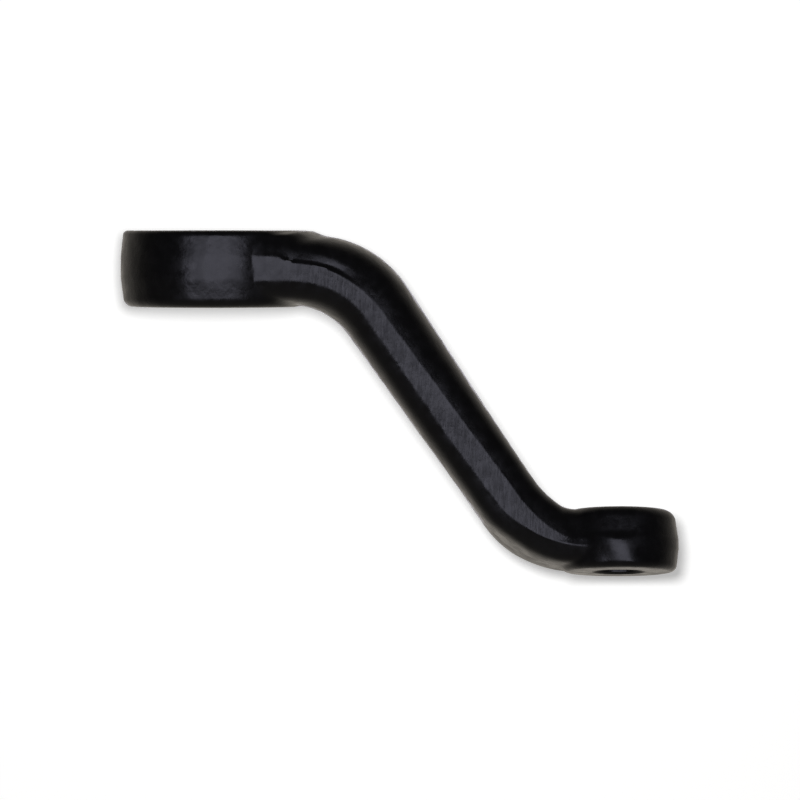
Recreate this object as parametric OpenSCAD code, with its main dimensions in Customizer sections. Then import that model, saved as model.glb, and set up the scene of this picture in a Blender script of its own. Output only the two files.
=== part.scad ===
// Drop pitman arm: a one-piece steel forging with a serrated eye for a steering
// gear's sector shaft and a tapered eye for a drag link's ball stud.
// The sector bore's axis is Z and the origin lies on it at mid height of the sector eye.
// The arm runs along +X and drops towards -Z. The stud eye leans about the arm's length.

/* [Layout] */
// Distance between the middles of the two eyes, along X
arm_length = 141; // [125:1:165]
// Drop from the middle of the sector eye to the middle of the stud eye
drop = 95.5; // [80:0.5:110]
// Lean of the stud eye about the arm's length, in degrees
stud_lean = 8.5; // [0:0.5:12]
// Share of the way along the arm at which the lean sets in
lean_start = 0.5; // [0:0.05:0.7]
// Share of the way along the arm at which the lean is full
lean_end = 0.8; // [0.75:0.05:1]

/* [Sector eye] */
// Diameter at the trimmed land
sector_eye_d = 66.5; // [64:0.5:76]
// Height between the two machined faces
sector_eye_h = 26.6; // [24:0.2:32]
// Height of the trimmed land round the eye
sector_land_h = 7.5; // [4:0.1:12]
// Height of the land's middle above the eye's middle
sector_land_z = 0.45; // [-2:0.05:2]
// Edge radius at the top face
sector_top_edge_r = 1.4; // [0.6:0.1:2.4]
// Edge radius at the bottom face
sector_bottom_edge_r = 2.8; // [0.6:0.1:4]
// Draft of the wall above the land, in degrees
sector_upper_draft = 6; // [1:0.5:9]
// Draft of the wall below the land, in degrees
sector_lower_draft = 7; // [1:0.5:9]

/* [Sector serrations] */
// Bore diameter over the serration tips, at the top face
spline_d = 30.4; // [26:0.2:34]
// Depth of a serration
serration_depth = 1.1; // [0.6:0.1:1.2]
// Angle between the two flanks of a serration, in degrees
serration_angle = 90; // [60:1:90]
// Serrations in a full circle, before the master ones are left out
serrations = 32; // [24:4:36]
// Master positions, where a serration is left out
masters = 4; // [2, 4]
// Length in which the bore's diameter changes by one unit of length
spline_taper = 8; // [6:1:16]

/* [Stud eye] */
// Diameter at the trimmed land
stud_eye_d = 42; // [38:0.5:50]
// Height between the two machined faces
stud_eye_h = 21.6; // [18:0.2:26]
// Height of the trimmed land round the eye
stud_land_h = 2.9; // [2:0.1:8]
// Height of the land's middle above the eye's middle
stud_land_z = -1.3; // [-2.5:0.05:2]
// Edge radius at the top face
stud_top_edge_r = 3.6; // [1:0.1:5]
// Edge radius at the bottom face
stud_bottom_edge_r = 2.2; // [0.6:0.1:3]
// Draft of the wall above the land, in degrees
stud_upper_draft = 8.5; // [1:0.5:10]
// Draft of the wall below the land, in degrees
stud_lower_draft = 6.5; // [1:0.5:10]
// Bore diameter at the bottom face, the taper's wide end
stud_bore_d = 17.5; // [14:0.1:20]
// Length in which the bore's diameter changes by one unit of length
stud_taper = 8; // [6:1:12]

/* [Arm outline] */
// Step from the sector eye's top face down to the arm's crown
crown_step = 1.7; // [1:0.1:5]
// Step from the sector eye's bottom face up to the arm's underside
underside_step = 0.8; // [0.2:0.1:4]
// Step from the stud eye's top face down to the arm's crown
tip_crown_step = 3.5; // [0.5:0.1:6]
// Step from the stud eye's bottom face up to the arm's underside
tip_underside_step = 0.2; // [0.2:0.1:4]
// Straight stretch of crown between the sector eye's rim and the upper bend
crown_run = 0.7; // [0:0.1:6]
// How far inside the sector eye's rim the underside starts to bend
underside_lap = 8; // [2:0.1:10]
// How far inside the stud eye's rim the crown's lower bend ends
tip_crown_lap = 16.8; // [6:0.2:20]
// How far inside the stud eye's rim the underside's lower bend ends
tip_underside_lap = 6.6; // [2:0.2:12]
// Radius of the crown in the upper bend
upper_crown_r = 39.5; // [24:0.5:42]
// Radius of the underside in the upper bend
upper_underside_r = 26; // [16:0.5:32]
// Radius of the crown in the lower bend
lower_crown_r = 31; // [16:0.5:36]
// Radius of the underside in the lower bend
lower_underside_r = 40.5; // [28:0.5:44]

/* [Arm section] */
// Width where the arm leaves the sector eye
root_w = 60; // [50:0.5:62]
// Width at the neck, where the arm's sides turn out to the stud eye
tip_w = 29.8; // [26:0.2:34]
// Angle between the neck's sides and the arm's length, in degrees
neck_angle = 20; // [10:0.5:30]
// How far the neck's sides are rounded out of their corner with the arm's sides
neck_round = 1.8; // [0.4:0.1:4]
// Fullness of the crown at the sector eye, where 2 is an ellipse
root_crown_fullness = 4.4; // [2:0.1:6]
// Fullness of the crown in the shank
crown_fullness = 3.4; // [2:0.1:6]
// Fullness of the crown at the stud eye
tip_crown_fullness = 4.4; // [2:0.1:6]
// Fullness of the underside at the sector eye
root_underside_fullness = 4.4; // [2:0.1:6]
// Fullness of the underside in the shank
underside_fullness = 3.1; // [2:0.1:6]
// Fullness of the underside at the stud eye
tip_underside_fullness = 6; // [2:0.1:8]

/* [Arm land and flanks] */
// Height of the trimmed land at the sector eye's end
root_land_h = 7; // [4:0.2:9]
// Height of the trimmed land in the shank
shank_land_h = 7.2; // [4:0.2:9]
// Height of the trimmed land at the stud eye's end
tip_land_h = 2.4; // [2:0.2:7]
// Height of the land's middle above the section's middle, at the sector eye's end
root_land_z = -0.25; // [-2:0.05:1]
// Height of the land's middle above the section's middle, at the stud eye's end
tip_land_z = 0.3; // [-2:0.05:1]
// How far the land dips in the upper bend
land_dip = 1; // [0:0.1:2]
// How far the land dips in the lower bend
tip_land_dip = 0.6; // [0:0.1:1.5]
// How far the land rises to a shoulder beside the sector eye
shoulder_rise = 1.75; // [0:0.05:3]
// Draft of the flanks above the land, in degrees
upper_flank_draft = 20; // [4:0.5:24]
// Draft of the flanks above the land at the stud eye, in degrees
tip_flank_draft = 10; // [4:0.5:24]
// Draft of the flanks below the land, in degrees
lower_flank_draft = 16; // [4:0.5:22]
// Draft of the flanks below the land at the stud eye, in degrees
tip_lower_draft = 22; // [4:0.5:24]

/* [Fillets] */
// Radius of the fillet between the sector eye's wall and the crown
root_fillet_r = 8.8; // [6:0.2:12]
// How far the fillet runs out from the sector eye's rim
root_fillet_run = 6.6; // [3:0.2:8]
// How much faster the fillet runs out sideways than along the arm, where 1 is alike
root_fillet_fade = 0.9; // [0.8:0.05:1.5]
// Most that the fillet lifts the crown
root_fillet_h = 2.3; // [1:0.1:4]
// Radius of the fillets between the arm's sides and the sector eye
side_fillet_r = 3; // [2:0.5:10]
// Chamfer at the mouths of both bores
bore_chamfer = 0.8; // [0.3:0.1:1.5]

/* [Hidden] */
coat = "#17171a";
// How far a cutting shape runs past the face that it cuts
over = 2;
$fn = 96;

// Steps of the loft in each stretch of the arm, and in each quarter of its section
root_steps = 20;
bend_steps = 14;
shank_steps = 8;
tip_steps = 5;
quarter_steps = 12;

sector_r = sector_eye_d / 2;
stud_r = stud_eye_d / 2;
sector_top = sector_eye_h / 2;
stud_top = stud_eye_h / 2;

// The arm's outline in the XZ plane is two rails, the crown and the underside.
// A rail is its start, its end, and its radii in the upper and the lower bend.
crown = [
    [sector_r + crown_run, sector_top - crown_step],
    [arm_length - stud_r + tip_crown_lap, -drop + stud_top - tip_crown_step],
    upper_crown_r,
    lower_crown_r,
];
underside = [
    [sector_r - underside_lap, underside_step - sector_top],
    [arm_length - stud_r + tip_underside_lap, -drop - stud_top + tip_underside_step],
    upper_underside_r,
    lower_underside_r,
];

// Slope of the straight that joins a rail's two arcs, which turn opposite ways
function rail_slope(rail) =
    let (
        span = rail[1].x - rail[0].x,
        rise = rail[0].y - rail[1].y - rail[2] - rail[3]
    )
    atan2(rise, span) + asin((rail[2] + rail[3]) / norm([span, rise]));

// Points on the upper arc and on the lower arc of a rail, by the angle turned from level
function upper_arc(rail, a) = rail[0] + rail[2] * [sin(a), cos(a) - 1];
function lower_arc(rail, a) = rail[1] + rail[3] * [-sin(a), 1 - cos(a)];

// Point on a rail: s runs 0 to 1 in the root, to 2 in the upper bend, to 3 in the shank,
// to 4 in the lower bend and to 5 in the tip, from one bore's axis to the other's
function rail_point(rail, s) =
    let (a = rail_slope(rail))
    s < 1 ? [rail[0].x * s, rail[0].y] :
    s < 2 ? upper_arc(rail, a * (s - 1)) :
    s < 3 ? upper_arc(rail, a) * (3 - s) + lower_arc(rail, a) * (s - 2) :
    s < 4 ? lower_arc(rail, a * (4 - s)) :
    [rail[1].x + (arm_length - rail[1].x) * (s - 4), rail[1].y];

// Share of the way from the upper bend's start to the lower bend's end
function along(s) = min(1, max(0, (s - 1) / 3));

// Share that starts and ends level
function eased(t) =
    let (u = min(1, max(0, t)))
    u * u * (3 - 2 * u);

// Half width that the fillet at the sector eye adds at x, where its arc lies.
// An arm as wide as the eye leaves no corner to fillet.
root_x = sqrt(max(0, (sector_r + side_fillet_r) ^ 2 - (root_w / 2 + side_fillet_r) ^ 2));
root_touch = root_x * side_fillet_r / (sector_r + side_fillet_r);
function side_fillet(x) =
    side_fillet_r - sqrt(side_fillet_r ^ 2 - min(root_touch, max(0, root_x - x)) ^ 2);

// Half width of the neck at x, whose sides touch the stud eye's rim
touch_x = arm_length - stud_r * sin(neck_angle);
touch_y = stud_r * cos(neck_angle);
function neck(x) = touch_y + min(0, x - touch_x) * tan(neck_angle);

// Half width of the arm at x: a straight taper that turns out into the neck along a hyperbola
neck_x = touch_x - (touch_y - tip_w / 2) / tan(neck_angle);
function half_width(x) =
    let (
        side = root_w / 2 + (tip_w - root_w) / 2 * max(0, x - root_x) / (neck_x - root_x),
        gap = side - neck(x)
    )
    (side + neck(x) + norm([gap, neck_round])) / 2 + side_fillet(x);

// Fullness of the crown and of the underside along the arm
function crown_full(t) =
    lookup(t, [[0, root_crown_fullness], [0.45, crown_fullness], [0.8, tip_crown_fullness]]);
function underside_full(t) =
    lookup(t, [
        [0, root_underside_fullness],
        [0.2, underside_fullness],
        [0.6, underside_fullness],
        [0.8, tip_underside_fullness],
    ]);

// Draft of the flanks along the arm, which changes towards the stud eye
function crown_draft(t) =
    upper_flank_draft + (tip_flank_draft - upper_flank_draft) * eased((t - 0.65) / 0.3);
function underside_draft(t) =
    lower_flank_draft + (tip_lower_draft - lower_flank_draft) * eased((t - 0.65) / 0.3);

// Height of the land's middle above the section's middle, half the land's height, and the shoulder
function land_mid(t) =
    root_land_z * (1 - t) + tip_land_z * t
        - land_dip * eased(t / 0.25) * eased((0.6 - t) / 0.35)
        - tip_land_dip * eased((t - 0.6) / 0.2) * eased((1 - t) / 0.15);
function land_half(t) =
    (lookup(t, [[0, root_land_h], [0.6, shank_land_h]])
        + (tip_land_h - shank_land_h) * eased((t - 0.6) / 0.35)) / 2;
function shoulder(x) = shoulder_rise * (1 - eased((x - 0.57 * sector_r) / (0.27 * sector_r)));

// One side of the section, as [across, up, lift], from the land's edge to the middle of the crown
// or the underside: a drafted wall that rounds over as a superellipse.
// Lift is the share of the root fillet's rise that a point on the crown takes.
function quarter(w, h, draft, fullness) = [
    for (i = [0 : quarter_steps])
        let (
            a = 90 * eased(i / quarter_steps),
            up = h * sin(a) ^ (2 / fullness)
        )
        [(w - up * tan(draft)) * cos(a) ^ (2 / fullness), up, sin(a)]
];

// Whole section, going round from the crown down the right side and up the left,
// for half width w, half height h and the land's lower and upper edges
function section(w, h, low, top, t) =
    let (
        over_land = quarter(w, h - top, crown_draft(t), crown_full(t)),
        under_land = quarter(w, h + low, underside_draft(t), underside_full(t)),
        half = concat(
            [for (i = [quarter_steps : -1 : 0]) over_land[i] + [0, top, 0]],
            [for (q = under_land) [q.x, low - q.y, 0]]
        )
    )
    concat(half, [for (i = [len(half) - 2 : -1 : 1]) [-half[i].x, half[i].y, half[i].z]]);

// Rise of the root fillet at x along the arm and y across it
function fillet_rise(x, y) =
    let (
        rho = norm([x, y * root_fillet_fade]),
        d = min(root_fillet_r, max(0, sector_r + root_fillet_run - rho))
    )
    min(root_fillet_h, root_fillet_r - sqrt(root_fillet_r ^ 2 - d ^ 2));

// Ring of points at station s, leaned about the arm's course and lifted near the sector eye
function ring(s) =
    let (
        top = rail_point(crown, s),
        low = rail_point(underside, s),
        mid = (top + low) / 2,
        h = norm(top - low) / 2,
        up = (top - low) / (2 * h),
        t = along(s),
        land_low = land_mid(t) - land_half(t),
        land_top = land_mid(t) + land_half(t) + shoulder(mid.x),
        lean = stud_lean * eased((t - lean_start) / (lean_end - lean_start))
    )
    [for (q = section(half_width(mid.x), h, land_low, land_top, t))
        let (
            across = q.x * cos(lean) + q.y * sin(lean),
            rise = q.y * cos(lean) - q.x * sin(lean),
            x = mid.x + up.x * rise
        )
        [x, across, mid.y + up.y * rise + q.z * fillet_rise(x, across)]];

stations = concat(
    [for (i = [0 : root_steps - 1]) i / root_steps],
    [for (i = [0 : bend_steps - 1]) 1 + i / bend_steps],
    [for (i = [0 : shank_steps - 1]) 2 + i / shank_steps],
    [for (i = [0 : bend_steps - 1]) 3 + i / bend_steps],
    [for (i = [0 : tip_steps]) 4 + i / tip_steps]
);

// Loft through the rings, with each end closed by one flat face
module loft(rings) {
    count = len(rings[0]);
    last = len(rings) - 1;
    sides = [
        for (k = [0 : last - 1], i = [0 : count - 1])
            let (
                a = k * count + i,
                b = k * count + (i + 1) % count
            )
            each [[a, b, b + count], [a, b + count, a + count]]
    ];
    ends = [
        [for (i = [count - 1 : -1 : 0]) i],
        [for (i = [0 : count - 1]) last * count + i],
    ];
    polyhedron(points = [for (r = rings) each r], faces = concat(sides, ends));
}

// Middle of an edge arc that touches a face and a drafted wall, as its distance from the axis
function edge_x(wall_r, wall_h, draft, edge_r) =
    wall_r - (edge_r + (wall_h - edge_r) * sin(draft)) / cos(draft);

// Forged eye: a trimmed land with drafted walls above and below it and rounded edges
module eye(wall_r, top, land_z, land_h, top_edge, bottom_edge, top_draft, bottom_draft) {
    land_top = land_z + land_h / 2;
    land_bottom = land_z - land_h / 2;
    top_x = edge_x(wall_r, top - land_top, top_draft, top_edge);
    bottom_x = edge_x(wall_r, land_bottom + top, bottom_draft, bottom_edge);
    top_touch = top_edge * [cos(top_draft), sin(top_draft)];
    bottom_touch = bottom_edge * [cos(bottom_draft), -sin(bottom_draft)];
    rotate_extrude() {
        polygon([
            [0, -top],
            [bottom_x, -top],
            [bottom_x, bottom_edge - top] + bottom_touch,
            [wall_r, land_bottom],
            [wall_r, land_top],
            [top_x, top - top_edge] + top_touch,
            [top_x, top],
            [0, top],
        ]);
        translate([top_x, top - top_edge]) circle(top_edge);
        translate([bottom_x, bottom_edge - top]) circle(bottom_edge);
    }
}

// Moves a shape from the origin to the stud eye's middle and leans it
module at_stud_eye() {
    translate([arm_length, 0, -drop]) rotate([-stud_lean, 0, 0]) children();
}

// Cutter for a bore's mouth at the top of an eye, a 45 degree cone around the bore
module mouth(face_r, face_z, depth) {
    translate([0, 0, face_z - depth])
        cylinder(h = depth + over, r1 = face_r - depth, r2 = face_r + over);
}

// Cutter for the tapered sector bore: a cone to the serration tips and one V groove per serration
module sector_bore() {
    reach = sector_top + over;
    tip_r = spline_d / 2;
    fall_r = sector_eye_h / (2 * spline_taper);
    slope = atan(1 / (2 * spline_taper));
    back = serration_depth + bore_chamfer;
    wedge = (serration_depth + back) * tan(serration_angle / 2);
    translate([0, 0, -reach])
        cylinder(
            h = 2 * reach,
            r1 = tip_r - (sector_top + reach) / (2 * spline_taper),
            r2 = tip_r + over / (2 * spline_taper)
        );
    for (i = [0 : serrations - 1])
        if (i % (serrations / masters) != 0)
            rotate([0, 0, i * 360 / serrations])
                translate([tip_r - fall_r / 2, 0, 0])
                    rotate([0, slope, 0])
                        linear_extrude(2 * reach, center = true)
                            polygon([[-back, -wedge], [serration_depth, 0], [-back, wedge]]);
    mouth(tip_r + back, sector_top, back + over);
    mirror([0, 0, 1]) mouth(tip_r - fall_r + back, sector_top, back + over);
}

// Cutter for the tapered stud bore, widest at the bottom
module stud_bore() {
    wide_r = stud_bore_d / 2;
    narrow_r = wide_r - stud_eye_h / (2 * stud_taper);
    past = over / (2 * stud_taper);
    translate([0, 0, -stud_top - over])
        cylinder(h = stud_eye_h + 2 * over, r1 = wide_r + past, r2 = narrow_r - past);
    mouth(narrow_r + bore_chamfer, stud_top, bore_chamfer + over);
    mirror([0, 0, 1]) mouth(wide_r + bore_chamfer, stud_top, bore_chamfer + over);
}

// The arm between the eyes, milled off level with the sector eye's top face
module arm() {
    difference() {
        loft([for (s = stations) ring(s)]);
        translate([-sector_r, -sector_r, sector_top])
            cube([2 * sector_eye_d, sector_eye_d, root_fillet_r + over]);
    }
}

// Forging with both eyes, and the two tapered bores
module pitman_arm() {
    color(coat)
        difference() {
            union() {
                eye(
                    sector_r, sector_top, sector_land_z, sector_land_h,
                    sector_top_edge_r, sector_bottom_edge_r,
                    sector_upper_draft, sector_lower_draft
                );
                at_stud_eye()
                    eye(
                        stud_r, stud_top, stud_land_z, stud_land_h,
                        stud_top_edge_r, stud_bottom_edge_r,
                        stud_upper_draft, stud_lower_draft
                    );
                arm();
            }
            sector_bore();
            at_stud_eye() stud_bore();
        }
}

pitman_arm();
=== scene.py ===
import math

import bpy
import numpy as np
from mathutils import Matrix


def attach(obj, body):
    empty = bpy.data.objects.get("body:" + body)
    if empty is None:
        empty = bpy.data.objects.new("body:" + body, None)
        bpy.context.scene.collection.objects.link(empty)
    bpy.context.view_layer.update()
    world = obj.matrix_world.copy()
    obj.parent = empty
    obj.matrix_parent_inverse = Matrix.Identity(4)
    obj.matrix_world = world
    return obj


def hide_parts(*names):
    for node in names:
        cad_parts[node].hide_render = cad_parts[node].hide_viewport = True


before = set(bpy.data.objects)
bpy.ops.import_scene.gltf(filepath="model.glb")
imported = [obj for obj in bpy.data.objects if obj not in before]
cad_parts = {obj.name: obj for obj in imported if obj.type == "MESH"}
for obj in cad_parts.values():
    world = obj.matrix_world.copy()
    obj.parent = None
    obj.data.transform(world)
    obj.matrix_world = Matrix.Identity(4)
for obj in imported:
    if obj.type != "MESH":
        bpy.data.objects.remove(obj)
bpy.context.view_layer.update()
scene = bpy.context.scene
scene.view_settings.view_transform = "Standard"
mm = 0.001
tiny = 1e-9


def hexColour(text):  # sRGB hex to linear RGBA: (c + 0.055) / 1.055 to the power 2.4 above the dark foot
    srgb = np.array([int(text[i:i + 2], 16) for i in (1, 3, 5)]) / 255
    linear = np.where(srgb <= 0.04045, srgb / 12.92, ((srgb + 0.055) / 1.055) ** 2.4)
    return (*linear.tolist(), 1.0)


def addNode(tree, kind, inputs=None, **settings):  # one node, its settings, and its sockets linked or set
    node = tree.nodes.new(kind)
    for name, value in settings.items():
        setattr(node, name, value)
    for socket, value in (inputs or {}).items():
        if isinstance(value, bpy.types.NodeSocket):
            tree.links.new(value, node.inputs[socket])
        else:
            node.inputs[socket].default_value = value
    return node


def gridFaces(rows, columns):  # quads between neighbours on a grid whose columns close on themselves
    row, column = np.meshgrid(np.arange(rows - 1), np.arange(columns), indexing="ij")
    following = (column + 1) % columns
    corners = (row * columns + column, row * columns + following,
               (row + 1) * columns + following, (row + 1) * columns + column)
    return np.stack(corners, axis=-1).reshape(-1, 4)


def closedTube(name, points):  # rings of points joined by quads, each end closed by one face
    rows, columns = points.shape[:2]
    faces = gridFaces(rows, columns).tolist()
    faces.append(list(range(columns))[::-1])
    faces.append(list(range((rows - 1) * columns, rows * columns)))
    mesh = bpy.data.meshes.new(name)
    mesh.from_pydata((points.reshape(-1, 3) * mm).tolist(), [], faces)
    mesh.update()
    piece = bpy.data.objects.new(name, mesh)
    scene.collection.objects.link(piece)
    return piece


# Forging: millimetres and degrees, with places and spans as shares of the arm between its two level ends

forging = {
    "length": 141.0,  # between the bore axes along X
    "drop": 95.5,  # between the middles of the eyes
    "sector": {  # top is half the thickness, head is spare wall above it
        "r": 33.25, "top": 13.3, "head": 6.0, "lean": 0.0,
        "land": (-3.3, 4.2), "draft": (6.0, 7.0), "edges": (1.4, 2.8)},  # low and high, then upper and lower
    "stud": {
        "r": 21.0, "top": 10.8, "head": 0.0, "lean": 8.5,
        "land": (-2.75, 0.15), "draft": (8.5, 6.5), "edges": (3.6, 2.2)},
    "crownStart": (33.95, 11.6), "crownEnd": (136.8, -88.3), "crownBends": (39.5, 30.4),  # x and z, radii
    "underStart": (25.25, -12.5), "underEnd": (126.6, -106.1), "underBends": (26.0, 40.5),
    "rootHalf": 30.0, "tipHalf": 14.9, "leastHalf": 1.0,  # half widths
    "neck": (20.0, 1.8),  # angle in plan, softness of its start
    "sideFillet": 3.0,
    "leanSpan": (0.5, 0.3), "draftSpan": (0.65, 0.3),  # start, run
    "upperDraft": (20.0, 10.0), "lowerDraft": (16.0, 22.0),  # first, last
    "crownPlaces": (0, 0.45, 0.8, 0.97), "crownFullness": (4.4, 3.4, 4.4, 2.0),  # superellipse powers
    "underPlaces": (0, 0.2, 0.6, 0.8), "underFullness": (4.4, 3.1, 3.1, 6.0),
    "middlePlaces": (0, 0.25, 0.6, 0.8, 1), "landMiddle": (-0.25, -1.95, -0.8, -0.8, -0.2),
    "halfPlaces": (0, 0.25, 0.62, 0.95, 1), "landHalf": (3.5, 2.7, 3.7, 1.2, 1.2),
    "landDip": (0.6, 36.0, 9.0),  # depth, x, spread
    "landShoulder": (1.75, 19.0, 9.0),  # rise, x where it starts to fall, run
    "rootFillet": (8.8, 6.6, 0.88, 2.3),  # radius, reach past the rim, narrowing across, most lift
    "blend": (2.0, 3.0, 5.0), "crownRise": 4.0,  # corner radii at the sector eye, the stud eye and its crown
    "facing": (-0.95, 0.999),  # cosines between surfaces that a corner is worked out for
    "underTurn": (5.2, 0.64, 0.16), "underHinge": 0.8,  # angle, start, run; hinge in half widths
    "waves": ((0.41, 0.0, 0.23, 1.3), (0.0, 0.37, -0.29, 0.4),  # radians in a mm of x, y and z; start
              (0.62, -0.51, 0.2, 2.1), (0.34, 0.0, 0.83, -0.7), (0.2, 0.71, 0.0, 0.0)),
    "waveParts": (0.6, 0.5, 4.0),  # share of the second wave and of the third, height that they span
    "waviness": 0.05, "waveRange": (0.2, 1.8), "waveFade": 4.0,  # depth, least and added, fade at the ends
    "flank": 8.0,  # lap and trim marks keep this far from the middle plane
    "lap": (0.5, 4.2), "lapSpan": (21.0, 5.0, 50.0, 9.0),  # depth, height; x and run of both ends
    "ledge": (0.3, 1.1, 30.0, 12.0),  # height that the lap eases in over: first, added, x, run
    "studRidge": (1.1, 5.8, 0.48, 0.4), "ridgeFades": (12.0, 6.0, 5.0, 3.0),  # height, spread, skew, place
    "fanTurn": 87.5, "sectorFan": 88, "studFan": 56,  # rings over each eye
    "railSteps": 2001, "closeEnds": (40.0, 26.0), "closePace": 0.62,  # rings stand closer near both eyes
    "roughRays": 480, "rays": 208, "rayReach": 60.0, "halvings": 34,
    "trimStart": (14.0, 30.0), "trimEnd": (15.0, 4.0), "trimSoft": 0.8,  # x or distance from the stud, run
    "sharpAngle": 33.0,
}


def clamp01(value):  # held between 0 and 1
    return np.clip(value, 0.0, 1.0)


def smoothStep(value):  # 3t squared less 2t cubed, level at both ends
    value = clamp01(value)
    return value * value * (3 - 2 * value)


def fade(value, start, run):  # smooth step from 0 at start to 1 a run later
    return smoothStep((value - start) / run)


def mix(pair, share):  # straight from the first of a pair to the second
    return pair[0] + (pair[1] - pair[0]) * share


def easedTable(value, knots, heights):  # heights at knots, joined by steps that are level at each knot
    knots, heights = np.array(knots), np.array(heights)
    i = np.clip(np.searchsorted(knots, value, side="right") - 1, 0, len(knots) - 2)
    return heights[i] + (heights[i + 1] - heights[i]) * fade(value, knots[i], knots[i + 1] - knots[i])


railEnd = 5  # a rail has five stretches: level, arc, straight, arc, level


def railCurve(start, end, bends, s):  # two arcs and the straight that touches both; s counts the stretches
    (x0, z0), (x1, z1), (r0, r1) = start, end, bends
    span, rise = x1 - x0, z0 - z1 - r0 - r1
    turn = math.atan2(rise, span) + math.asin((r0 + r1) / math.hypot(span, rise))
    upper = turn * clamp01(s - 1)
    lower = turn * clamp01(4 - s)
    upX, upZ = x0 + r0 * np.sin(upper), z0 + r0 * (np.cos(upper) - 1)
    lowX, lowZ = x1 - r1 * np.sin(lower), z1 + r1 * (1 - np.cos(lower))
    share = clamp01(s - 2)
    x = upX * (1 - share) + lowX * share
    z = upZ * (1 - share) + lowZ * share
    x = np.where(s < 1, x0 * s, np.where(s > 4, x1 + (forging["length"] - x1) * (s - 4), x))
    return x, z


def bothRails(s):  # points of the crown rail and of the underside rail at the same s
    f = forging
    crown = railCurve(f["crownStart"], f["crownEnd"], f["crownBends"], s)
    under = railCurve(f["underStart"], f["underEnd"], f["underBends"], s)
    return crown, under


def halfWidth(x):  # straight taper in plan, an arc at the sector eye, a neck that touches the stud eye's rim
    f = forging
    sectorR, studR, r = f["sector"]["r"], f["stud"]["r"], f["sideFillet"]
    rootX = math.sqrt((sectorR + r) ** 2 - (f["rootHalf"] + r) ** 2)
    touch = rootX * r / (sectorR + r)
    arc = r - np.sqrt(r * r - np.clip(rootX - x, 0, touch) ** 2)
    angle, soft = math.radians(f["neck"][0]), f["neck"][1]
    touchX, touchY = f["length"] - studR * math.sin(angle), studR * math.cos(angle)
    neckX = touchX - (touchY - f["tipHalf"]) / math.tan(angle)
    side = f["rootHalf"] + (f["tipHalf"] - f["rootHalf"]) * np.maximum(x - rootX, 0) / (neckX - rootX)
    neck = touchY + np.minimum(x - touchX, 0) * math.tan(angle)
    return (side + neck + np.hypot(side - neck, soft)) / 2 + arc


def forgedWaves(x, y, z):  # slow sines in skew directions, the first and third crossed, from 0 to 1
    first, crossFirst, second, third, crossThird = (
        turnX * x + turnY * y + turnZ * z + start for turnX, turnY, turnZ, start in forging["waves"])
    shareTwo, shareThree, span = forging["waveParts"]
    wave = (np.sin(first) * np.sin(crossFirst) + shareTwo * np.sin(second)
            + shareThree * np.sin(third) * np.cos(crossThird))
    return clamp01(0.5 + wave / span)


def roundMax(a, b, r):  # meeting of two half spaces with the edge rounded to radius r
    u, v = np.maximum(a + r, 0), np.maximum(b + r, 0)
    return np.minimum(np.maximum(a, b), -r) + np.hypot(u, v)


def eyeProfile(rho, z, eye, wave):  # upright land, drafted walls, flat faces and rounded edges
    landLow, landTop = eye["land"]
    up, low = (math.radians(angle) for angle in eye["draft"])
    aside = rho - eye["r"]
    wall = np.maximum(aside, np.maximum(aside * math.cos(up) + (z - landTop) * math.sin(up),
                                        aside * math.cos(low) - (z - landLow) * math.sin(low)))
    upperEdge, lowerEdge = eye["edges"]
    topped = roundMax(wall + wave, z - (eye["top"] + eye["head"]), upperEdge)
    return roundMax(topped, -eye["top"] - z, lowerEdge)


def eyeField(x, y, z, wave, eye):  # profile turned about the leaned axis, and its slope by small steps
    c, s = math.cos(math.radians(eye["lean"])), math.sin(math.radians(eye["lean"]))
    across, up = y * c - z * s, y * s + z * c
    rho = np.maximum(np.hypot(x, across), tiny)
    step = 0.05
    here = eyeProfile(rho, up, eye, wave)
    out = (eyeProfile(rho + step, up, eye, wave) - here) / step
    rise = (eyeProfile(rho, up + step, eye, wave) - here) / step
    sideways = out * across / rho
    return here, (out * x / rho, sideways * c + rise * s, rise * c - sideways * s)


def forgingLap(st, across, up):  # groove over the land: eases in over the ledge and runs out at its height
    depth, tall = forging["lap"]
    above = up - st["landTop"]
    groove = depth * smoothStep(above / st["ledge"]) * clamp01((tall - above) / (tall - st["ledge"]))
    return groove * st["lap"] * (np.abs(across) > forging["flank"])


def studRidge(x, y, z):  # bell across a skew line on the stud eye's near wall, faded at its side and top
    height, spread, skew, aside = forging["studRidge"]
    nearY, nearRun, topZ, topRun = forging["ridgeFades"]
    fromLine = x + skew * z + aside
    return height * np.exp(-(fromLine / spread) ** 2) * fade(-y, nearY, nearRun) * fade(topZ - z, 0, topRun)


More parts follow.
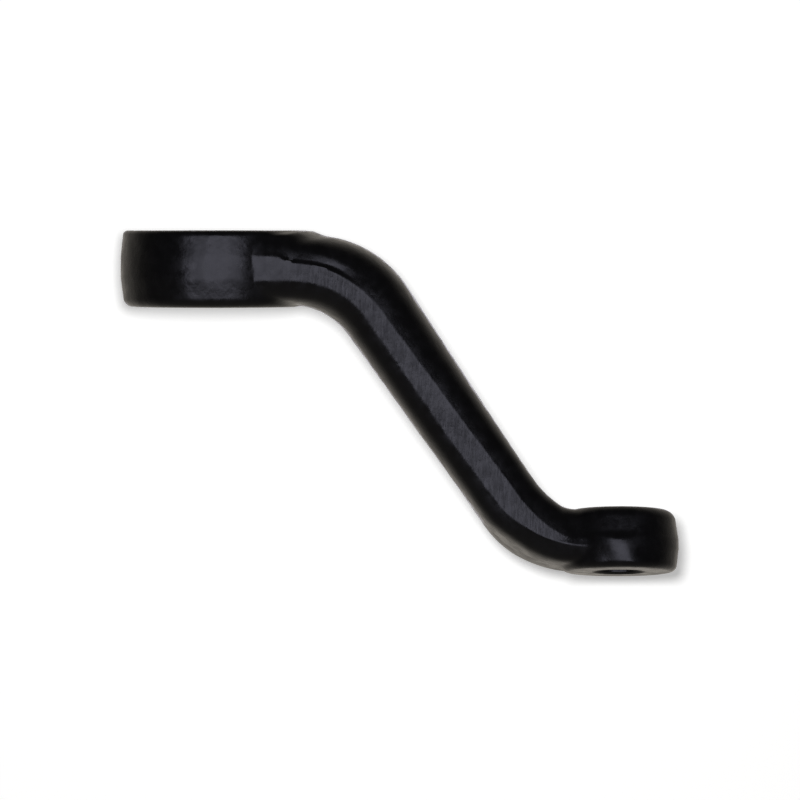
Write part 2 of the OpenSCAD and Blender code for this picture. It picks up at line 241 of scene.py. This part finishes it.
def armField(st, x, a, b, wave):  # superellipse over and under a flat land, and its slope in the plane
    f = forging
    c, s = np.cos(st["lean"]), np.sin(st["lean"])
    across, up = a * c - b * s, a * s + b * c
    fillet, reach, narrowing, most = f["rootFillet"]
    depth = np.clip(f["sector"]["r"] + reach - np.hypot(x, a * narrowing), 0, fillet)
    lift = np.minimum(fillet - np.sqrt(fillet * fillet - depth * depth), most)
    upper = up > (st["landLow"] + st["landTop"]) / 2
    height = np.where(upper, st["half"] - st["landTop"], st["half"] + st["landLow"])
    beyond = np.maximum(np.where(upper, up - st["landTop"], st["landLow"] - up), 0)
    share = clamp01(beyond / height)
    lifted = lift * share ** (st["crownFullness"] / 2)
    turned = st["underTurn"] * (f["underHinge"] * st["width"] - across) * share
    beyond = np.where(upper, np.maximum(beyond - lifted, 0), beyond + turned)
    n = np.where(upper, st["crownFullness"], st["underFullness"])
    slope = np.tan(np.radians(np.where(upper, st["upperDraft"], st["lowerDraft"])))
    width = np.maximum(st["width"] - beyond * slope, f["leastHalf"])
    p, q = np.abs(across) / width, beyond / height
    g = np.maximum((p ** n + q ** n) ** (1 / n), tiny)
    gp, gq = (p / g) ** (n - 1), (q / g) ** (n - 1)
    sideways = gp / width
    rising = np.where(beyond > 0, gp * p * slope / width + gq / height, 0)
    size = np.maximum(np.hypot(sideways, rising), tiny)
    sideways = sideways / size * np.sign(across)
    rising = rising / size * np.where(upper, 1, -1)
    distance = (g - 1) / size + wave + forgingLap(st, across, up) + st["pastEnd"]
    return distance, (sideways * c + rising * s, rising * c - sideways * s)


def filletUnion(a, b, facing, r):  # union whose inner corner is an arc of radius r touching both surfaces
    facing = np.clip(facing, *forging["facing"])
    u, v = np.maximum(r - a, 0), np.maximum(r - b, 0)
    arc = r - np.sqrt(np.maximum(u * u + v * v - 2 * u * v * facing, 0) / (1 - facing * facing))
    return np.where((u > v * facing) & (v > u * facing) & (u > 0) & (v > 0), arc, np.minimum(a, b))


def forgingField(st, a, b):  # below zero inside arm or eye, at across a and up b in each section's plane
    f = forging
    x, y, z = st["x"] + b * st["upX"], a, st["z"] + b * st["upZ"]
    least, added = f["waveRange"]
    wave = st["wavy"] * (least + added * forgedWaves(x, y, z))
    arm, (armSide, armUp) = armField(st, x, a, b, wave)
    armWay = (armUp * st["upX"], armSide, armUp * st["upZ"])
    sector, sectorWay = eyeField(x, y, z, wave, f["sector"])
    studX, studZ = x - f["length"], z + f["drop"]
    stud, studWay = eyeField(studX, y, studZ, wave - studRidge(studX, y, studZ), f["stud"])
    atStud = st["x"] > f["length"] / 2
    eye = np.where(atStud, stud, sector)
    facing = sum(d * np.where(atStud, e, g) for d, e, g in zip(armWay, studWay, sectorWay))
    blend = st["blend"] + st["crownBlend"] * fade(b, st["landTop"], f["crownRise"])
    whole = filletUnion(arm, eye, facing, blend)
    return roundMax(whole, z - f["sector"]["top"], f["sector"]["edges"][0])


def spaceSections():  # s and shift along X of each section: a fan over each eye, paced steps along the arm
    f = forging
    fan = math.radians(f["fanTurn"])
    left = -f["sector"]["r"] * np.sin(np.linspace(fan, 0, f["sectorFan"], endpoint=False))
    right = f["stud"]["r"] * np.sin(np.linspace(0, fan, f["studFan"] + 1)[1:])
    fine = np.linspace(0, railEnd, f["railSteps"])
    (crownX, crownZ), (underX, underZ) = bothRails(fine)
    middleX, middleZ = (crownX + underX) / 2, (crownZ + underZ) / 2
    nearSector, nearStud = f["closeEnds"]
    close = (middleX < nearSector) | (middleX > f["length"] - nearStud)
    steps = np.hypot(np.diff(middleX), np.diff(middleZ)) / np.where(close, f["closePace"], 1.0)[1:]
    travelled = np.concatenate([[0], np.cumsum(steps)])
    along = np.interp(np.linspace(0, travelled[-1], int(travelled[-1])), travelled, fine)
    s = np.concatenate([np.zeros(len(left)), along, np.full(len(right), float(railEnd))])
    shift = np.concatenate([left, np.zeros(len(along)), right])
    return s, shift


def makeStations():  # sections between the two rails, with their lands, drafts and corners
    f = forging
    s, shift = spaceSections()
    (crownX, crownZ), (underX, underZ) = bothRails(s)
    share = clamp01((s - 1) / 3)
    half = np.hypot(crownX - underX, crownZ - underZ) / 2
    x, z = (crownX + underX) / 2, (crownZ + underZ) / 2
    place = x + shift
    dip, dipX, dipSpread = f["landDip"]
    landMiddle = easedTable(share, f["middlePlaces"], f["landMiddle"])
    landMiddle = landMiddle - dip * np.exp(-((x - dipX) / dipSpread) ** 2)
    landHalf = easedTable(share, f["halfPlaces"], f["landHalf"])
    rise, riseX, riseRun = f["landShoulder"]
    lapX, lapRun, lapEndX, lapEndRun = f["lapSpan"]
    ledge, ledgeAdded, ledgeX, ledgeRun = f["ledge"]
    turn, turnStart, turnRun = f["underTurn"]
    late = fade(share, *f["draftSpan"])
    leftEnd, rightEnd = f["sector"]["r"] + place, f["length"] + f["stud"]["r"] - place
    stations = {
        "x": place,
        "z": z,
        "upX": (crownX - underX) / (2 * half),
        "upZ": (crownZ - underZ) / (2 * half),
        "half": half,
        "width": halfWidth(x),
        "pastEnd": np.abs(shift),
        "lean": np.radians(f["stud"]["lean"]) * fade(share, *f["leanSpan"]),
        "underTurn": math.tan(math.radians(turn)) * fade(share, turnStart, turnRun),
        "landLow": landMiddle - landHalf,
        "landTop": landMiddle + landHalf + rise * (1 - fade(x, riseX, riseRun)),
        "crownFullness": np.interp(share, f["crownPlaces"], f["crownFullness"]),
        "underFullness": np.interp(share, f["underPlaces"], f["underFullness"]),
        "upperDraft": mix(f["upperDraft"], late),
        "lowerDraft": mix(f["lowerDraft"], late),
        "blend": mix(f["blend"], smoothStep(share)),
        "crownBlend": (f["blend"][2] - f["blend"][1]) * smoothStep(share),
        "lap": fade(x, lapX, lapRun) * fade(lapEndX - x, 0, lapEndRun),
        "ledge": ledge + ledgeAdded * fade(x, ledgeX, ledgeRun),
        "wavy": f["waviness"] * fade(leftEnd, 0, f["waveFade"]) * fade(rightEnd, 0, f["waveFade"]),
    }
    return {name: value[:, None] for name, value in stations.items()}


def solveRadius(stations, angle):  # halving the reach of each ray until it ends on the surface
    low = np.zeros_like(angle)
    high = np.full_like(angle, forging["rayReach"])
    for _ in range(forging["halvings"]):
        middle = (low + high) / 2
        inside = forgingField(stations, middle * np.cos(angle), middle * np.sin(angle)) < 0
        low, high = np.where(inside, middle, low), np.where(inside, high, middle)
    return (low + high) / 2


def evenAngles(angle, radius, count):  # angles at equal steps along each ring's outline
    closed = np.concatenate([angle, angle[:, :1] + 2 * math.pi], axis=1)
    reach = np.concatenate([radius, radius[:, :1]], axis=1)
    steps = np.hypot(np.diff(reach * np.cos(closed)), np.diff(reach * np.sin(closed)))
    travelled = np.concatenate([np.zeros((len(angle), 1)), np.cumsum(steps, axis=1)], axis=1)
    share = np.arange(count) / count
    return np.stack([np.interp(share * way[-1], way, turn) for way, turn in zip(travelled, closed)])


def trimmedLand(stations, a, b):  # 1 on the flank between the land's edges, soft at them and at both eyes
    f = forging
    up = a * np.sin(stations["lean"]) + b * np.cos(stations["lean"])
    edge = np.minimum(stations["landTop"] - up, up - stations["landLow"])
    fromStud, studRun = f["trimEnd"]
    onArm = fade(stations["x"], *f["trimStart"]) * fade(f["length"] - fromStud - stations["x"], 0, studRun)
    return clamp01(0.5 + edge / f["trimSoft"]) * onArm * (np.abs(a) > f["flank"])


def makeForging():  # a ring of rays in each section plane, carried along the arm's course
    f = forging
    stations = makeStations()
    turn = np.linspace(-math.pi / 2, 1.5 * math.pi, f["roughRays"], endpoint=False)
    rough = np.tile(turn, (len(stations["x"]), 1))
    angle = evenAngles(rough, solveRadius(stations, rough), f["rays"])
    radius = solveRadius(stations, angle)
    a, b = radius * np.cos(angle), radius * np.sin(angle)
    points = np.stack([stations["x"] + b * stations["upX"], a, stations["z"] + b * stations["upZ"]], axis=-1)
    piece = closedTube("pitman_forging", points)
    mask = piece.data.attributes.new("trimmedLand", "FLOAT", "POINT")
    mask.data.foreach_set("value", trimmedLand(stations, a, b).reshape(-1).astype(np.float32))
    print("forging rings", points.shape)
    return piece


# Bores, in millimetres, each taper 1 in so many on diameter

bores = {
    "tipR": 15.2, "sectorTaper": 8.0,  # radius to the serrations' tips at the upper face
    "serrations": 32, "masters": 4, "depth": 1.1,  # masters are places left without a groove
    "wideR": 8.75, "studTaper": 8.0,  # radius at the stud eye's lower face
    "chamfer": 0.8, "over": 2.0,  # over is how far a cutter stands past the faces
    "grooveSteps": 5, "crestSteps": 2,
    "sectorMouth": (3.0, 13), "sectorMiddle": (4.5, 5),  # distance from the face, rings
    "studMouth": (0, 0.4, 0.8, 2.0), "studMiddle": (-4, 0, 4), "studRays": 112,
}


def makeSectorCutter():  # radius over angle and height: a cone with V grooves, widened by a 45 degree mouth
    b, top = bores, forging["sector"]["top"]
    count = b["serrations"]
    pitch = 2 * math.pi / count
    groove = b["depth"] / b["tipR"]
    crest = np.linspace(groove, pitch - groove, b["crestSteps"] + 2)[1:-1]
    offsets = np.concatenate([np.linspace(-1, 1, b["grooveSteps"]) * groove, crest])
    turn = (np.arange(count)[:, None] * pitch + offsets[None, :]).reshape(-1)
    cut = np.tile(np.maximum(b["depth"] - np.abs(offsets) * b["tipR"], 0), (count, 1))
    cut[np.arange(count) % (count // b["masters"]) == 0] = 0
    (mouth, mouthRings), (inner, innerRings) = b["sectorMouth"], b["sectorMiddle"]
    z = np.concatenate([[-top - b["over"]], np.linspace(-top, -top + mouth, mouthRings),
                        np.linspace(-top + inner, top - inner, innerRings),
                        np.linspace(top - mouth, top, mouthRings), [top + b["over"]]])[:, None]
    cone = b["tipR"] - (top - z) / (2 * b["sectorTaper"])
    back = b["depth"] + b["chamfer"]
    upper = b["tipR"] + back + (z - top)
    lower = b["tipR"] - top / b["sectorTaper"] + back + (-top - z)
    radius = np.maximum(cone + cut.reshape(1, -1), np.maximum(upper, lower))
    points = np.stack([radius * np.cos(turn), radius * np.sin(turn), z + 0 * radius], axis=-1)
    return closedTube("sector_cutter", points)


def makeStudCutter():  # a cone that widens downwards, 45 degree mouths at both faces, leaned like the eye
    b, top, lean = bores, forging["stud"]["top"], math.radians(forging["stud"]["lean"])
    turn = np.linspace(0, 2 * math.pi, b["studRays"], endpoint=False)
    inward = np.array(b["studMouth"])
    z = np.concatenate([[-top - b["over"]], -top + inward, b["studMiddle"], top - inward[::-1],
                        [top + b["over"]]])[:, None]
    cone = b["wideR"] - (top + z) / (2 * b["studTaper"])
    upper = b["wideR"] - top / b["studTaper"] + b["chamfer"] + (z - top)
    lower = b["wideR"] + b["chamfer"] + (-top - z)
    radius = np.maximum(cone, np.maximum(upper, lower)) + 0 * turn
    x, y, z = radius * np.cos(turn), radius * np.sin(turn), z + 0 * radius
    c, s = math.cos(lean), math.sin(lean)
    points = np.stack([x + forging["length"], y * c + z * s, z * c - y * s - forging["drop"]], axis=-1)
    return closedTube("stud_cutter", points)


def cutBores(piece, cutters):  # takes the cutters out of the forging and keeps the result as its mesh
    for cutter in cutters:
        cut = piece.modifiers.new(cutter.name, "BOOLEAN")
        cut.operation, cut.solver, cut.object = "DIFFERENCE", "EXACT", cutter
    bpy.context.view_layer.update()
    solid = bpy.data.meshes.new_from_object(piece.evaluated_get(bpy.context.evaluated_depsgraph_get()))
    piece.modifiers.clear()
    piece.data = solid
    for cutter in cutters:
        bpy.data.objects.remove(cutter)
    solid.polygons.foreach_set("use_smooth", np.ones(len(solid.polygons), bool))
    solid.set_sharp_from_angle(angle=math.radians(forging["sharpAngle"]))
    solid.update()
    triangles = sum(len(face.vertices) - 2 for face in solid.polygons)
    print("bores cut", len(solid.vertices), "points", triangles, "triangles")


# Finish

coatFinish = {
    "body": "#0b0b0c", "thin": "#121214", "roughness": (0.21, 0.33), "ior": 1.45,
    "grainMm": 0.9, "grainDepth": 0.011,  # coarser than the real grain, so that it shows
    "scaleMm": 3.8, "scaleDepth": 0.13, "scaleRange": (0.35, 0.65),
    "shearMm": 0.75, "shearLong": 6.5, "shearDepth": 0.17, "shearRough": 0.6,
    "grainNoise": (3.0, 0.6), "scaleNoise": (2.0, 0.5), "shearNoise": (3.0, 0.65),  # detail, roughness
}


def makeCoat():  # black dip coat on shot-cleaned forged steel: deep black, soft gloss, grain under the film
    c = coatFinish
    material = bpy.data.materials.new("black dip coat on forged steel")
    material.use_nodes = True
    tree = material.node_tree
    tree.nodes.clear()
    place = addNode(tree, "ShaderNodeTexCoord").outputs["Object"]
    squeeze = (1, 1, c["shearMm"] / c["shearLong"])  # draws the shear marks out along Z
    drawn = addNode(tree, "ShaderNodeMapping", {"Vector": place, "Scale": squeeze}).outputs["Vector"]
    noise = {}
    for name, vector in (("grain", place), ("scale", place), ("shear", drawn)):
        detail, rough = c[name + "Noise"]
        noise[name] = addNode(tree, "ShaderNodeTexNoise", {
            "Vector": vector, "Scale": 1 / (c[name + "Mm"] * mm), "Detail": detail,
            "Roughness": rough}).outputs["Fac"]
    land = addNode(tree, "ShaderNodeAttribute", attribute_name="trimmedLand").outputs["Fac"]
    swing = addNode(tree, "ShaderNodeMath", {0: noise["shear"], 1: 0.5}, operation="SUBTRACT")
    marks = addNode(tree, "ShaderNodeMath", {0: swing.outputs["Value"], 1: land}, operation="MULTIPLY")
    marks = marks.outputs["Value"]
    (low, high), (fromLow, fromHigh) = c["roughness"], c["scaleRange"]
    gloss = addNode(tree, "ShaderNodeMapRange", {
        "Value": noise["scale"], "From Min": fromLow, "From Max": fromHigh, "To Min": low, "To Max": high})
    rough = addNode(tree, "ShaderNodeMath", {0: marks, 1: c["shearRough"], 2: gloss.outputs["Result"]},
                    operation="MULTIPLY_ADD")
    tone = addNode(tree, "ShaderNodeMix", {
        "Factor": noise["scale"], "A": hexColour(c["body"]), "B": hexColour(c["thin"])}, data_type="RGBA")
    under = {}
    for name, height in (("scale", noise["scale"]), ("shear", marks), ("grain", noise["grain"])):
        bump = addNode(tree, "ShaderNodeBump", {
            "Height": height, "Strength": 1.0, "Distance": c[name + "Depth"] * mm, **under})
        under = {"Normal": bump.outputs["Normal"]}
    coat = addNode(tree, "ShaderNodeBsdfPrincipled", {
        "Base Color": tone.outputs["Result"], "Roughness": rough.outputs["Value"], "IOR": c["ior"], **under})
    addNode(tree, "ShaderNodeOutputMaterial", {"Surface": coat.outputs["BSDF"]})
    print("coat ready")
    return material


piece = makeForging()
cutBores(piece, [makeSectorCutter(), makeStudCutter()])
piece.data.materials.clear()
piece.data.materials.append(makeCoat())
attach(piece, "root")
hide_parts("pitman_arm")

# Stage, in metres: a pale sheet behind the part, a soft light, a back light and a small shadow lamp

studio = {
    "target": (0.0644, 0.0, -0.046), "distance": 2.0, "elevation": 1.85,
    "lens": 257.14, "sensor": 36.0, "clip": (0.05, 20.0),  # lens and sensor in millimetres
    "sheetY": 0.06, "sheetReach": 0.2, "sheetGlow": 0.45, "sheetColour": 0.8,
    "softSize": (3.1, 1.35), "softDistance": 2.3, "softRise": 0.1, "softLevel": 2.12,
    "backSize": (1.1, 0.7), "backDistance": 2.3, "backLevel": 1.2, "lampColour": "#e6e6fb",
    "shadowSize": 0.105, "shadowPlace": (0.049, -1.277, 0.039), "shadowWatts": 12.4,
    "shadowColour": "#ffffff",
    "rearLevel": 0.51, "rearPower": 1.25, "rearColour": "#fff7ec", "floorLevel": 0.13, "fillLevel": 0.04,
}


def makeCamera():  # looks along +Y at the target, from its distance away and raised by its elevation
    s = studio
    camera = bpy.data.objects.new("camera", bpy.data.cameras.new("camera"))
    camera.data.lens, camera.data.sensor_width = s["lens"], s["sensor"]
    camera.data.clip_start, camera.data.clip_end = s["clip"]
    tilt = math.radians(s["elevation"])
    x, y, z = s["target"]
    camera.location = (x, y - s["distance"] * math.cos(tilt), z + s["distance"] * math.sin(tilt))
    camera.rotation_euler = (math.pi / 2 - tilt, 0, 0)
    scene.collection.objects.link(camera)
    scene.camera = camera


def makeSheet():  # one square: white to the camera, clear from behind, darker only where the part shades it
    s = studio
    (x, _, z), y, reach = s["target"], s["sheetY"], s["sheetReach"]
    corners = [(x + i * reach, y, z + k * reach) for i, k in ((-1, -1), (1, -1), (1, 1), (-1, 1))]
    mesh = bpy.data.meshes.new("pale_sheet")
    mesh.from_pydata(corners, [], [(0, 1, 2, 3)])
    sheet = bpy.data.objects.new("pale_sheet", mesh)
    scene.collection.objects.link(sheet)
    sheet.visible_diffuse = sheet.visible_glossy = sheet.visible_transmission = sheet.visible_shadow = False
    material = bpy.data.materials.new("matt white paper")
    material.use_nodes = True
    tree = material.node_tree
    tree.nodes.clear()
    grey = s["sheetColour"]
    paper = addNode(tree, "ShaderNodeBsdfDiffuse", {"Color": (grey, grey, grey, 1)})
    glow = addNode(tree, "ShaderNodeEmission", {"Color": (1, 1, 1, 1), "Strength": s["sheetGlow"]})
    lit = addNode(tree, "ShaderNodeAddShader", {0: paper.outputs["BSDF"], 1: glow.outputs["Emission"]})
    behind = addNode(tree, "ShaderNodeNewGeometry").outputs["Backfacing"]
    clear = addNode(tree, "ShaderNodeBsdfTransparent").outputs["BSDF"]
    sides = addNode(tree, "ShaderNodeMixShader", {0: behind, 1: lit.outputs["Shader"], 2: clear})
    addNode(tree, "ShaderNodeOutputMaterial", {"Surface": sides.outputs["Shader"]})
    mesh.materials.append(material)
    return sheet


def makeLamp(name, place, size, watts, colour, receiver, turn=1):  # along +Y or -Y, on its receiver only
    light = bpy.data.lights.new(name, "AREA")
    light.shape = "RECTANGLE" if size[0] != size[1] else "DISK"
    light.size, light.size_y = size
    light.energy, light.color = watts, hexColour(colour)[:3]
    lamp = bpy.data.objects.new(name, light)
    lamp.location, lamp.rotation_euler = place, (turn * math.pi / 2, 0, 0)
    lamp.visible_camera = False
    scene.collection.objects.link(lamp)
    group = bpy.data.collections.new(name + "_lights")
    group.objects.link(receiver)
    lamp.light_linking.receiver_collection = group


def makeWorld():  # white to the camera; a pale rear, a floor glow and a dim fill to the coat
    s = studio
    world = bpy.data.worlds.new("studio")
    scene.world = world
    world.use_nodes = True
    tree = world.node_tree
    tree.nodes.clear()
    ray = addNode(tree, "ShaderNodeLightPath").outputs
    around = addNode(tree, "ShaderNodeTexCoord").outputs["Generated"]
    way = addNode(tree, "ShaderNodeSeparateXYZ", {0: around}).outputs
    rear = way["Y"]
    for operation, value in (("MAXIMUM", 0.0), ("POWER", s["rearPower"]), ("MULTIPLY", s["rearLevel"])):
        rear = addNode(tree, "ShaderNodeMath", {0: rear, 1: value}, operation=operation).outputs["Value"]
    down = addNode(tree, "ShaderNodeMath", {0: way["Z"], 1: 0.0}, operation="MINIMUM").outputs["Value"]
    glow = addNode(tree, "ShaderNodeMath", {0: down, 1: -s["floorLevel"], 2: rear}, operation="MULTIPLY_ADD")
    mirrored = addNode(tree, "ShaderNodeMath", {0: ray["Is Glossy Ray"], 1: ray["Is Transmission Ray"]},
                       operation="MAXIMUM")
    level = addNode(tree, "ShaderNodeMath", {
        0: glow.outputs["Value"], 1: mirrored.outputs["Value"], 2: s["fillLevel"]}, operation="MULTIPLY_ADD")
    pale = addNode(tree, "ShaderNodeBackground", {
        "Color": hexColour(s["rearColour"]), "Strength": level.outputs["Value"]})
    white = addNode(tree, "ShaderNodeBackground", {"Color": (1, 1, 1, 1), "Strength": 1.0})
    seen = addNode(tree, "ShaderNodeMixShader", {
        0: ray["Is Camera Ray"], 1: pale.outputs["Background"], 2: white.outputs["Background"]})
    addNode(tree, "ShaderNodeOutputWorld", {"Surface": seen.outputs["Shader"]})


def makeLights(piece, sheet):  # a soft lamp's watts are its level times pi times its area
    s = studio
    x, _, z = s["target"]
    front = (x, -s["softDistance"], z + s["softRise"])
    rear = (x, s["backDistance"], z)
    for name, place, turn in (("soft", front, 1), ("back", rear, -1)):
        wide, high = s[name + "Size"]
        watts = s[name + "Level"] * math.pi * wide * high
        makeLamp(name + "_light", place, (wide, high), watts, s["lampColour"], piece, turn)
    across = s["shadowSize"]
    makeLamp("shadow_lamp", s["shadowPlace"], (across, across), s["shadowWatts"], s["shadowColour"], sheet)


makeCamera()
sheet = makeSheet()
makeWorld()
makeLights(piece, sheet)
print("stage ready")
